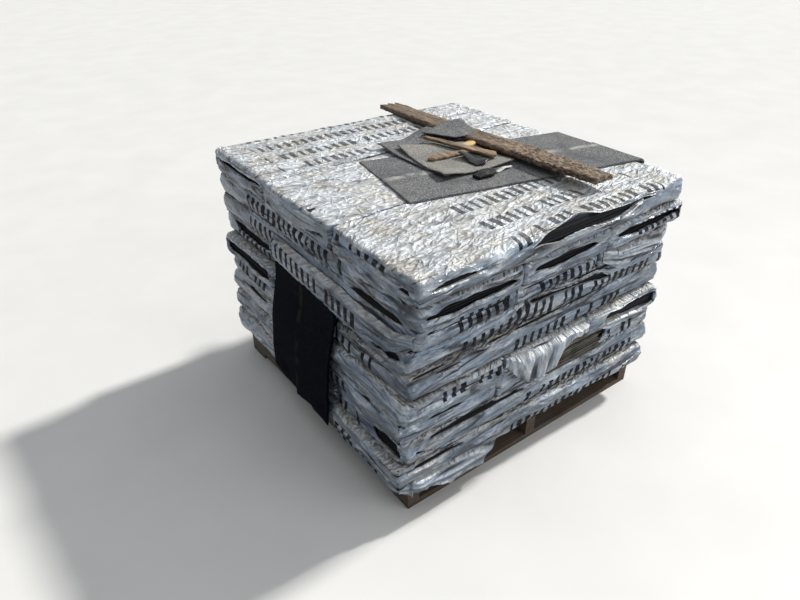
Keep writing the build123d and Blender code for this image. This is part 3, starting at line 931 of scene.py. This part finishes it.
def loose_film(name, face, top, low, stand_off, folds, contrast, centre, seed, rate=12, row=None):
    """Film that hangs loose on the right or left face.

    top and low are its edges, as (place along the face, level). Its folds run along it, or to a centre.
    row is its printed row: level at both ends of the film, and where it stops.
    """
    top, low = np.array(top, float) * mm, np.array(low, float) * mm
    count = int(np.ptp(low[:, 0]) / (3.2 * mm))
    rows = int(np.ptp(np.concatenate([top[:, 1], low[:, 1]])) / (4 * mm)) + 8
    along = np.linspace(low[0, 0], low[-1, 0], count)[:, None]
    part = np.linspace(0, 1, rows)[None, :]
    high_line = np.interp(along, *top.T)
    low_line = np.interp(along, *low.T) + noises[2](join(along * 45, seed, 0.0)) * 9 * mm
    level = high_line + (low_line - high_line) * part
    if centre:
        off, rise = along - centre[0] * mm, level - centre[1] * mm
        across_folds, run = np.arctan2(rise + 12 * mm, off) * 3.6, level
        spread = np.clip(np.hypot(off, rise) / (70 * mm), 0.15, 1)
    else:
        across_folds = (0.2 * along + 1.8 * level) * rate + 0.8 * noises[1](join(along * 5, level * 9, seed))
        spread, run = 1.0, along
    ridge = crease(join(across_folds, run * 4, seed), 3)
    fine = noises[4](join(across_folds * 3.1, run * 6, seed))
    out = (stand_off * mm * smooth_step(0, 0.22, part)
           + folds * mm * spread * smooth_step(0, 0.3, part) * (ridge + 0.35 * fine))
    hem = 60 * mm
    taper = smooth_step(0, hem, along - low[0, 0]) * smooth_step(0, hem, low[-1, 0] - along)
    out = half_stack + out * taper - 13 * mm * (1 - taper) - 9 * mm * smooth_step(0.12, 0, part)
    plan = (along, -out) if face == "right" else (-out, -along)
    flow = join(level, along, seed) if centre else join(along, level, seed)
    printed = 0 * flow
    if row:
        row_level = np.interp(along, low[[0, -1], 0], np.array(row[:2]) * mm)
        printed = join(along, (level - row_level) / (100 * mm), along < row[2] * mm)
    # Painted highlights on the fold ridges and painted shade between them, for the film's colour
    tone = np.clip(contrast * (2.3 * ridge - 1.0 + 0.5 * fine), -1, 1)
    sheaf = Sheaf()
    # The values of the sheet's two sides are the same
    sheaf.add(*slab(settle(join(*plan, deck_top + level)), 1.2 * mm), flow=np.concatenate([flow] * 2),
              print=np.concatenate([printed] * 2), relief=np.concatenate([tone] * 2))
    place(sheaf.object(name, film), "film")


# Materials

class Nodes:
    """Node tree of a material or world, filled one node at a time."""

    def __init__(self, name, owners=bpy.data.materials, output="OutputMaterial"):
        self.owner = owners.new(name)
        self.owner.use_nodes = True
        self.tree = self.owner.node_tree
        self.tree.nodes.clear()
        self.output = output

    def add(self, kind, output=0, inputs=None, **settings):
        """Adds a node. Gives one of its outputs, or all of them where output is None."""
        node = self.tree.nodes.new("ShaderNode" + kind)
        for name, value in settings.items():
            setattr(node, name, value)
        for name, value in (inputs or {}).items():
            if isinstance(value, bpy.types.NodeSocket):
                self.tree.links.new(value, node.inputs[name])
            else:
                node.inputs[name].default_value = value
        return node.outputs if output is None or not node.outputs else node.outputs[output]

    def math(self, operation, first, second=0.0, third=0.0):
        return self.add("Math", inputs={0: first, 1: second, 2: third}, operation=operation)

    def times(self, *factors):
        return functools.reduce(lambda product, factor: self.math("MULTIPLY", product, factor), factors)

    def plus(self, *terms):
        return functools.reduce(lambda total, term: self.math("ADD", total, term), terms)

    def gap(self, first, second):
        return self.math("ABSOLUTE", self.math("SUBTRACT", first, second))

    def mix(self, share, first, second, blend="MIX"):
        first, second = (value if isinstance(value, bpy.types.NodeSocket) else (*value, 1)
                         for value in (first, second))
        return self.add("Mix", 2, {0: share, 6: first, 7: second}, data_type="RGBA", blend_type=blend)

    def range(self, value, low, high, new_low=0.0, new_high=1.0):
        return self.add("MapRange", inputs={0: value, 1: low, 2: high, 3: new_low, 4: new_high})

    def noise(self, at, scale, detail=3.0, roughness=0.5, distortion=0.0):
        return self.add("TexNoise", inputs={"Vector": at, "Scale": scale, "Detail": detail,
                                            "Roughness": roughness, "Distortion": distortion},
                        noise_type="FBM", normalize=True)

    def stretch(self, at, *scale):
        return self.add("Mapping", inputs={"Vector": at, "Scale": scale})

    def wrinkles(self, at, turn, length, width, detail=1.0, distortion=0.5):
        """Sharp ridges about so long and so wide, at an angle to the first axis."""
        turned = self.add("Mapping", inputs={"Vector": at, "Rotation": (0, 0, math.radians(turn)),
                                             "Scale": (length, width, width)}, vector_type="TEXTURE")
        return self.add("TexNoise", inputs={"Vector": turned, "Scale": 1.0, "Detail": detail,
                                            "Roughness": 0.5, "Offset": 1.0, "Gain": 1.0,
                                            "Distortion": distortion},
                        noise_type="RIDGED_MULTIFRACTAL", normalize=False)

    def attribute(self, name, output):
        return self.add("Attribute", output, attribute_name=name)

    def coordinates(self):
        return self.add("TexCoord", 3)

    def bump(self, height, distance, strength=1.0):
        return self.add("Bump", inputs={"Height": height, "Strength": strength, "Distance": distance})

    def finish(self, colour, roughness, normal=None, specular=0.5, metallic=0.0):
        inputs = {"Base Color": colour, "Roughness": roughness, "Specular IOR Level": specular,
                  "Metallic": metallic}
        if normal:
            inputs["Normal"] = normal
        return self.close(self.add("BsdfPrincipled", inputs=inputs))

    def close(self, shader):
        self.add(self.output, inputs={"Surface": shader})
        return self.owner


def film_material():
    """Silver-grey film: small creases, printed rows of plain bars, dust and dirt, with painted shade in
    creases, grooves and pockets, painted highlights on ridges and a top painted lighter than the sides.
    """
    n = Nodes("film")
    flow = n.attribute("flow", 1)
    along, row, ink = n.add("SeparateXYZ", None, {0: n.attribute("print", 1)})

    # Bars: each cell along a row holds one, of its own width. Heights are in rows
    cell_width, half_bar_height = 0.031, 0.235
    cells = n.math("DIVIDE", along, cell_width)
    row_number = n.math("ROUND", row)
    cell = n.add("CombineXYZ", inputs={0: n.math("FLOOR", cells), 1: row_number, 2: 0.0})
    chance = n.add("TexWhiteNoise", 0, {"Vector": cell}, noise_dimensions="3D")
    width = n.times(n.range(chance, 0.1, 1.0, 0.18, 0.32), n.math("GREATER_THAN", chance, 0.1))
    bar = n.math("LESS_THAN", n.gap(n.math("FRACT", cells), 0.5), width)
    tall = n.math("LESS_THAN", n.gap(row, row_number), half_bar_height)
    worn = n.range(n.noise(flow, 90, 4), 0.34, 0.42, 0.75, 1.0)
    mask = n.times(bar, tall, n.math("GREATER_THAN", ink, 0.5), worn)

    lying = n.range(n.add("SeparateXYZ", 2, {0: n.add("NewGeometry", 1)}), 0.55, 0.95)

    def by_lie(upright, flat):
        return n.range(lying, 0.0, 1.0, upright, flat)

    mask = n.times(mask, by_lie(1.0, 0.78))
    mottle = n.noise(flow, 5, 4)
    streaks = n.noise(n.stretch(flow, 6, 45, 6), 1.0, 4)
    grain = n.noise(flow, 160, 2)

    # Creases: long ones along the bundle, and short ones that cross
    long_ones = n.wrinkles(flow, 4, 0.24, 0.040, 2.0)
    slanted = n.wrinkles(flow, 38, 0.110, 0.034)
    crossed = n.wrinkles(flow, -52, 0.090, 0.030)
    small = n.wrinkles(flow, 15, 0.034, 0.016, 2.0)
    height = n.plus(n.times(long_ones, by_lie(1.25, 0.75)),
                    n.times(n.math("MAXIMUM", slanted, crossed), by_lie(0.25, 0.6)),
                    n.times(small, by_lie(0.35, 0.6)))
    # Thin dark lines where the film is gathered, in some places only: painted shade in those folds
    gathered = n.times(n.range(n.wrinkles(flow, 3, 0.36, 0.036, 0.0, 0.3), 0.80, 0.94),
                       n.range(n.noise(n.stretch(flow, 4, 14, 14), 1.0, 2), 0.45, 0.58), by_lie(0.95, 0.4))
    # Fine dark lines along small wrinkles, in some places only: painted shade in those creases
    fine_crease_shade = n.times(n.range(n.wrinkles(flow, 5, 0.085, 0.011, 2.0, 0.4), 0.95, 1.5),
                     n.range(n.noise(flow, 16, 3), 0.4, 0.6), by_lie(0.55, 0.42))

    # Colour from how far the film stands out: painted shade in grooves and pockets, painted highlights on
    # ridges
    relief = n.attribute("relief", 2)
    in_pocket = n.range(relief, -1.1, -1.6)
    grey = n.mix(n.range(mottle, 0.35, 0.65), (0.112, 0.152, 0.208), (0.205, 0.250, 0.315))
    grey = n.mix(n.range(streaks, 0.45, 0.7, 0.0, 0.6), grey, (0.37, 0.405, 0.45))
    # Painted shade in the grooves between the layers
    grey = n.mix(n.range(relief, -0.15, -0.95), grey, (0.022, 0.025, 0.03))
    # Painted highlight on the ridges
    grey = n.mix(n.range(relief, 0.2, 0.95, 0.0, 0.7), grey, (0.49, 0.53, 0.57))
    # Faces that look up are painted lighter than the sides: painted light on the top
    grey = n.mix(n.times(lying, 0.6), grey, (0.66, 0.67, 0.665))
    # Painted shade in the crease valleys and painted highlights on the crease tops, from the creases' height
    tone = n.range(n.range(height, 0.95, 1.75), 0.0, 1.0, 0.5, 1.5)
    tone = n.add("CombineColor", inputs={0: tone, 1: tone, 2: tone})
    grey = n.mix(by_lie(0.55, 0.6), grey, tone, "MULTIPLY")
    dusty = n.times(n.range(n.noise(flow, 12, 6), 0.42, 0.66), n.math("MULTIPLY_ADD", lying, 0.65, 0.04))
    grey = n.mix(dusty, grey, (0.47, 0.43, 0.365))
    dirt = n.times(n.range(grain, 0.52, 0.7), n.range(mottle, 0.4, 0.6, 0.08, 0.3))
    grey = n.mix(dirt, grey, (0.18, 0.175, 0.165))
    # Painted shade in the fine creases
    grey = n.mix(fine_crease_shade, grey, (0.05, 0.055, 0.065))
    grey = n.mix(gathered, grey, (0.018, 0.02, 0.025))
    colour = n.mix(mask, grey, (0.012, 0.014, 0.018))
    # Pockets painted near black: painted shade in the slots
    colour = n.mix(in_pocket, colour, (0.005, 0.005, 0.006))

    height = n.plus(n.math("SUBTRACT", height, n.times(gathered, 0.8)), n.times(grain, 0.1))
    rough = n.plus(n.range(n.noise(flow, 18, 4), 0.3, 0.7, 0.26, 0.46), n.times(lying, 0.2))
    dull = n.math("MAXIMUM", mask, in_pocket)
    return n.finish(colour, n.math("MULTIPLY_ADD", dull, 0.2, rough),
                    n.bump(n.times(height, by_lie(0.65, 1.0)), 0.007),
                    n.range(dull, 0.0, 1.0, 0.5, 0.08), n.range(dull, 0.0, 1.0, 0.3, 0.0))


def sheet_edge_material():
    """Cut edges of asphalt sheets, some with light stone dust."""
    n = Nodes("sheet_edges")
    at = n.coordinates()
    tone, dust = n.attribute("tone", 2), n.attribute("dust", 2)
    grain = n.noise(at, 420, 2)
    dark = n.mix(tone, (0.006, 0.0065, 0.009), (0.020, 0.021, 0.026))
    brown = n.mix(tone, (0.065, 0.060, 0.052), (0.235, 0.218, 0.185))
    specks = n.mix(dust, (0.05, 0.055, 0.065), (0.33, 0.315, 0.285))
    colour = n.mix(n.range(grain, 0.5, 0.75, 0.0, 0.25), n.mix(dust, dark, brown), specks)
    colour = n.mix(n.range(n.noise(at, 25, 4), 0.4, 0.65, 0.0, 0.5), colour, (0.02, 0.02, 0.02))
    return n.finish(colour, 0.82, n.bump(grain, 0.001, 0.7), 0.15)


def granule_material(name, dark, light, speck, smudged=0.22, gloss=0.25, worn=None):
    """Mineral granules on a shingle's face. worn is a rubbed line along it: (place, width, colour)."""
    n = Nodes(name)
    at = n.coordinates()
    distance, cells = list(n.add("TexVoronoi", None, {"Vector": at, "Scale": 620.0}, feature="F1"))[:2]
    value = n.add("SeparateColor", 0, {0: cells})
    colour = n.mix(n.range(value, 0.1, 0.9), dark, light)
    colour = n.mix(n.range(value, 0.82, 0.86), colour, speck)
    colour = n.mix(n.range(n.noise(at, 14, 4), 0.45, 0.7, 0.0, 0.5), colour, dark)
    colour = n.mix(n.range(n.noise(at, 5, 3), 0.5, 0.75, 0.0, smudged), colour, (0.36, 0.34, 0.30))
    if worn:
        line_place, line_width, line_colour = worn
        aside = n.add("SeparateXYZ", 1, {0: n.attribute("lie", 1)})
        wander = n.math("MULTIPLY_ADD", n.noise(at, 7, 3), 0.03, -0.015 - line_place)
        off = n.math("ABSOLUTE", n.plus(aside, wander))
        line = n.times(n.range(off, line_width, line_width * 0.3), n.range(n.noise(at, 22, 4), 0.42, 0.6))
        colour = n.mix(line, colour, line_colour)
    return n.finish(colour, 0.9, n.bump(distance, 0.0012, 0.8), gloss)


def wood_material(name, scale, dark, light, grey, flakes=None):
    """Wood with grain along the axis that scale leaves long. flakes is the colour of loose chips."""
    n = Nodes(name)
    at = n.coordinates()
    along = n.stretch(at, *scale)
    grain = n.noise(along, 1.0, 6, 0.65, 0.6)
    fibres = n.noise(along, 4.0, 3)
    colour = n.mix(n.range(grain, 0.35, 0.68), dark, light)
    colour = n.mix(n.range(n.noise(at, 9, 4), 0.45, 0.7, 0.0, 0.8), colour, grey)
    colour = n.mix(n.range(fibres, 0.5, 0.75, 0.0, 0.6), colour, dark)
    if flakes:
        chips = n.noise(n.stretch(at, 150, 55, 150), 1.0, 5)
        barked = n.range(n.add("SeparateXYZ", 1, {0: at}), 0.06, -0.10, 0.25, 0.75)
        colour = n.mix(n.times(barked, n.range(chips, 0.50, 0.66)), colour, flakes)
        colour = n.mix(n.times(barked, n.range(chips, 0.48, 0.38)), colour, dark)
    height = n.plus(n.times(grain, 0.7), n.times(fibres, 0.3))
    return n.finish(colour, 0.8, n.bump(height, 0.003, 0.9))


def plain_material(name, scale, dark, light, roughness, specular, rugged=None):
    """A mottled colour. rugged is its bumps: (scale, height)."""
    n = Nodes(name)
    at = n.coordinates()
    normal = n.bump(n.noise(at, rugged[0], 3), rugged[1]) if rugged else None
    return n.finish(n.mix(n.noise(at, scale, 3), dark, light), roughness, normal, specular)


film = film_material()
sheet_edges = sheet_edge_material()
panel_back = granule_material("panel_back", (0.002, 0.0025, 0.005), (0.006, 0.0075, 0.013),
                              (0.016, 0.019, 0.028), 0.01, 0.04, (0.012, 0.016, (0.030, 0.027, 0.024)))
grey_granules = (0.065, 0.067, 0.072), (0.20, 0.202, 0.205), (0.40, 0.40, 0.39)
granules = granule_material("granules", *grey_granules)
laid_granules = granule_material("laid_granules", *grey_granules, worn=(0.0, 0.017, (0.42, 0.41, 0.385)))
pale_granules = granule_material("pale_granules", (0.15, 0.145, 0.13), (0.34, 0.33, 0.30), (0.5, 0.48, 0.44))
pallet_wood = (0.035, 0.024, 0.017), (0.15, 0.105, 0.07), (0.12, 0.105, 0.09)
pallet_along_x = wood_material("pallet_along_x", (4, 70, 70), *pallet_wood)
pallet_along_y = wood_material("pallet_along_y", (70, 4, 70), *pallet_wood)
weathered = wood_material("weathered_wood", (75, 5, 75), (0.06, 0.035, 0.02), (0.42, 0.29, 0.18),
                          (0.30, 0.25, 0.19))
board_wood = wood_material("board_wood", (75, 5, 75), (0.030, 0.019, 0.012), (0.31, 0.215, 0.14),
                           (0.16, 0.125, 0.095), flakes=(0.42, 0.31, 0.21))
fresh = wood_material("fresh_wood", (8, 90, 60), (0.42, 0.24, 0.08), (0.78, 0.56, 0.27), (0.66, 0.48, 0.26))
black_plastic = plain_material("black_plastic", 60, (0.005, 0.005, 0.006), (0.018, 0.018, 0.02), 0.3, 0.2)
tar = plain_material("tar", 90, (0.005, 0.005, 0.006), (0.02, 0.019, 0.02), 0.5, 0.2, (150, 0.003))
film_scrap = plain_material("film_scrap", 60, (0.4, 0.41, 0.42), (0.7, 0.7, 0.69), 0.4, 0.5, (120, 0.002))


# The stack

draw = np.random.default_rng(11)
for layer in range(1, layers + 1):
    film_sheaf, sheet_sheaf = Sheaf(), Sheaf()
    for bundle in bundles:
        if bundle.layer == layer:
            film_bundle(bundle, film_sheaf)
            sheet_pile(bundle, sheet_sheaf, draw)
    place(film_sheaf.object(f"film_layer_{layer}", film), "film", f"wrap_layer_{layer}")
    place(sheet_sheaf.object(f"sheets_layer_{layer}", sheet_edges, smooth=False), "shingle_edge",
          f"shingles_layer_{layer}")

# Places along the left face count towards the viewer
for loose_piece in (
        ("torn_film", "right", [(-186, 298), (98, 295), (194, 286)],
         [(-186, 287), (-125, 212), (-87, 192), (-25, 188), (10, 204), (40, 246), (90, 274), (194, 274)],
         16, 14, 2.2, (-75, 60), 1.0),
        ("film_lip", "right", [(190, 262), (300, 250), (500, 236)],
         [(190, 240), (260, 230), (360, 222), (500, 214)], 14, 6, 0.8, None, 2.0, 26),
        ("low_film_front", "right", [(-520, 22), (-150, 18)],
         [(-520, -16), (-464, -14), (-420, -20), (-357, -44), (-300, -34), (-243, -44), (-220, -12), (-150, 2)],
         11, 8, 0.9, None, 3.0, 17),
        ("lip_at_top", "right",
         [(44, 641), (92, 638), (135, 632), (190, 632), (240, 642), (302, 660), (340, 670)],
         [(44, 628), (92, 624), (135, 618), (190, 617), (240, 626), (302, 644), (340, 655)],
         21, 6, 1.4, None, 7.0, 20),
        ("folds_at_right", "right", [(205, 506), (500, 512)],
         [(205, 470), (250, 446), (300, 452), (400, 462), (500, 466)], 4, 10, 1.7, None, 8.0, 26),
        ("low_film_left", "left", [(130, 30), (515, 30)],
         [(130, -6), (250, -12), (330, -14), (400, -16), (460, -24), (515, -26)], 16, 4, 0.25, None, 4.0, 7,
         (10, 0, 400)),
        ("top_film_left", "left", [(-196, 668), (190, 668)],
         [(-196, 602), (-150, 594), (-60, 612), (20, 604), (90, 624), (190, 652)], 12, 5, 0.25, None, 5.0, 6),
        ("hem_left", "left", [(-190, 500), (220, 500), (260, 492), (440, 492), (505, 508)],
         [(-190, 452), (-120, 437), (60, 431), (200, 424), (250, 416), (360, 430), (430, 440), (470, 454),
          (505, 482)], 12, 2, 0.25, None, 6.0, 9, (474, 440, 310))):
    loose_film(*loose_piece)
bare_sheets(draw)


# Shingles and broken pieces on the stack

drape_piece("hanging_shingle", hanging,
            [(half, 0, (-6 * mm, -6 * mm)), (overlay_edge, ply, (-34 * mm, 12 * mm))],
            panel_back, "shingle_back", 9)
drape_piece("loose_shingle", loose, [(half, 0, (0, 0)), (overlay_edge, ply, (0, 0))],
            laid_granules, "shingle_face", 3)

on_loose = stack_top + 2 * ply
for seed, (node, material, slot, spacing, surface, ragged) in enumerate((
        ("scrap_under", granules, "shingle_face", 9,
         flat_rest(on_loose, ply, [(-94, 188, 10, 120), (122, 214, 22, 120), (-88, -133, 6, 90)]), 3),
        ("scrap_over", pale_granules, "shingle_pale", 8,
         flat_rest(on_loose + ply + 2 * mm, ply,
                   [(-106, -148, 14, 110), (-61, 131, 10, 100), (160, -158, 5, 80)]), 3),
        ("scrap_flap", granules, "shingle_face", 8,
         flat_rest(on_loose + 22 * mm, ply, [(250, 190, 12, 110)]), 3),
        ("broken_board", board_wood, "weathered_wood", 4.5, board_surface, 6),
        ("splinter_dark", weathered, "weathered_wood", 4, stick(on_loose + 10 * mm), 5),
        ("splinter_long", weathered, "weathered_wood", 4, stick(on_loose + 16 * mm), 4),
        ("splinter_pale", fresh, "fresh_wood", 3.5, stick(on_loose + 12 * mm), 5),
        ("plastic_offcut", black_plastic, "black_plastic", 5,
         flat_rest(on_loose + 9 * mm, 2 * mm, [(36, -43, 14, 60), (86, -128, 10, 50)], 3.0, 2.0), 5),
        ("tar_lump", tar, "asphalt", 3.5,
         flat_rest(on_loose + 1 * mm, 9 * mm, [(10, -185, 5, 26)], 3.0, 5.0), 6),
        ("film_strip", film_scrap, "film", 3.5,
         flat_rest(on_loose + 1 * mm, 2 * mm, [(100, -175, 5, 30)], 2.0, 7.0), 3)), 1):
    plate(node, material, slot, spacing * mm, surface, ragged * mm, seed)

for name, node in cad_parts.items():
    if name.startswith("pallet"):
        node.data.materials.clear()
        node.data.materials.append(pallet_along_y if "stringer" in name else pallet_along_x)


# Floor, light and camera

def add_floor():
    n = Nodes("floor")
    tone = n.mix(n.range(n.noise(n.coordinates(), 3, 3), 0.3, 0.7), (0.70, 0.69, 0.67), (0.74, 0.73, 0.71))
    seen = n.math("MAXIMUM", n.add("LightPath", 0), n.add("LightPath", 3))
    mesh = bpy.data.meshes.new("floor")
    reach = 14.0
    mesh.from_pydata([(-reach, -reach, 0), (reach, -reach, 0), (reach, reach, 0), (-reach, reach, 0)],
                     [], [(0, 1, 2, 3)])
    mesh.materials.append(n.finish(n.mix(seen, (0.30, 0.29, 0.27), tone), 0.9))
    floor = link("floor", mesh)


def add_sky():
    """Even where it is seen, and as light softer from the sides than from above."""
    n = Nodes("world", bpy.data.worlds, "OutputWorld")
    seen = n.math("MAXIMUM", n.add("LightPath", 0), n.add("LightPath", 3))
    steep = n.math("POWER", n.add("SeparateXYZ", 2, {0: n.add("TexCoord", 0)}), 2.0)
    strength = n.range(seen, 0.0, 1.0, n.range(steep, 0.0, 1.0, 0.05, 0.90), 0.85)
    light = n.add("Background", inputs={"Color": (0.92, 0.96, 1.0, 1), "Strength": strength})
    bpy.context.scene.world = n.close(light)


def add_lamp(name, kind, energy, towards, place_at=(0, 0, 0), **settings):
    lamp = bpy.data.lights.new(name, kind)
    lamp.energy = energy
    for setting, value in settings.items():
        setattr(lamp, setting, value)
    made = link(name, lamp)
    made.location = place_at
    made.rotation_euler = Vector(towards).to_track_quat("-Z", "Y").to_euler()


def add_camera():
    data = bpy.data.cameras.new("camera")
    data.lens = camera_lens
    data.sensor_width = 36.0
    data.clip_end = 60
    made = link("camera", data)
    made.matrix_world = Matrix.Translation(camera_place)
    for degrees, axis in ((camera_yaw, "Z"), (camera_pitch, "X"), (camera_roll, "Y"), (90, "X")):
        made.matrix_world = made.matrix_world @ Matrix.Rotation(math.radians(degrees), 4, axis)
    bpy.context.scene.camera = made


add_floor()
add_sky()
add_lamp("sun", "SUN", 3.5, (-0.73, 0.03, -0.68), angle=math.radians(5), color=(1.0, 0.985, 0.955))
add_lamp("fill", "AREA", 37, (-1.2, 3.2, -1.2), (1.2, -3.2, 1.6), size=2.5)
add_camera()
bpy.context.scene.view_settings.view_transform = "Standard"
